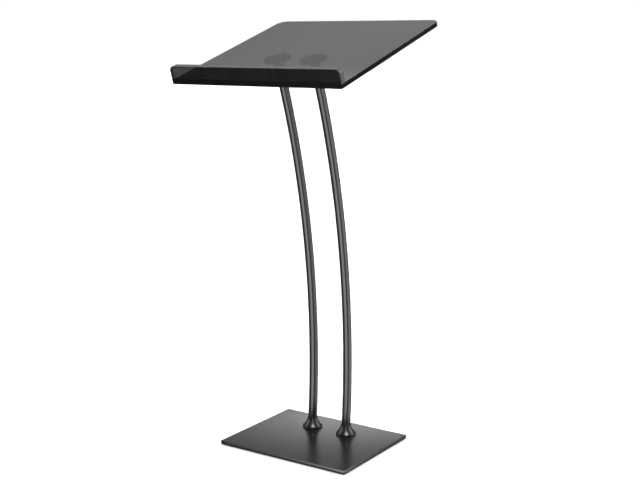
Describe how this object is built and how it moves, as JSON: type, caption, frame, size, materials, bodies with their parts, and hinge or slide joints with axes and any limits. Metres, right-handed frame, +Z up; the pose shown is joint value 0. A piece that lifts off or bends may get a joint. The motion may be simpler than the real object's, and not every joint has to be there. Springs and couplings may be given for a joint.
{
  "type": "lectern stand",
  "caption": "Free-standing lectern with a sloping smoke acrylic desk and book stop on two bowed black steel poles, conical foot covers and a flat rectangular steel base.",
  "frame": {"origin": "on the floor under the middle of the whole outline", "axes": "+Z up, +Y away from the reader, +X to the reader's right; the reader stands at -Y facing +Y"},
  "size_m": [0.522, 0.5024, 1.1698],
  "materials": {
    "black_steel": "satin black powder coat on mild steel",
    "smoke_acrylic": "dark smoke cast acrylic, polished faces and edges",
    "zinc_steel": "zinc plated steel fasteners",
    "rubber": "matt black rubber",
    "brass": "turned brass threaded inserts"
  },
  "bodies": {
    "stand": {"base_plate": "black_steel", "desk_panel": "smoke_acrylic", "book_stop": "smoke_acrylic", "pad_front_left": "rubber", "pad_front_right": "rubber", "pad_back_left": "rubber", "pad_back_right": "rubber", "left_pole": "black_steel", "left_foot_flange": "black_steel", "left_foot_screws": "zinc_steel", "left_top_flange": "black_steel", "left_gasket": "rubber", "left_washers": "zinc_steel", "left_top_screws": "zinc_steel", "left_inserts": "brass", "right_pole": "black_steel", "right_foot_flange": "black_steel", "right_foot_screws": "zinc_steel", "right_top_flange": "black_steel", "right_gasket": "rubber", "right_washers": "zinc_steel", "right_top_screws": "zinc_steel", "right_inserts": "brass"},
    "left_cover": {"left_cover": "black_steel"},
    "right_cover": {"right_cover": "black_steel"}
  },
  "joints": [
    {"name": "left_cover_slide", "type": "slide", "parent": "stand", "child": "left_cover", "axis": [0, 0.0616, 0.9981], "range_m": [0, 0.05]},
    {"name": "right_cover_slide", "type": "slide", "parent": "stand", "child": "right_cover", "axis": [0, 0.0616, 0.9981], "range_m": [0, 0.05]}
  ]
}
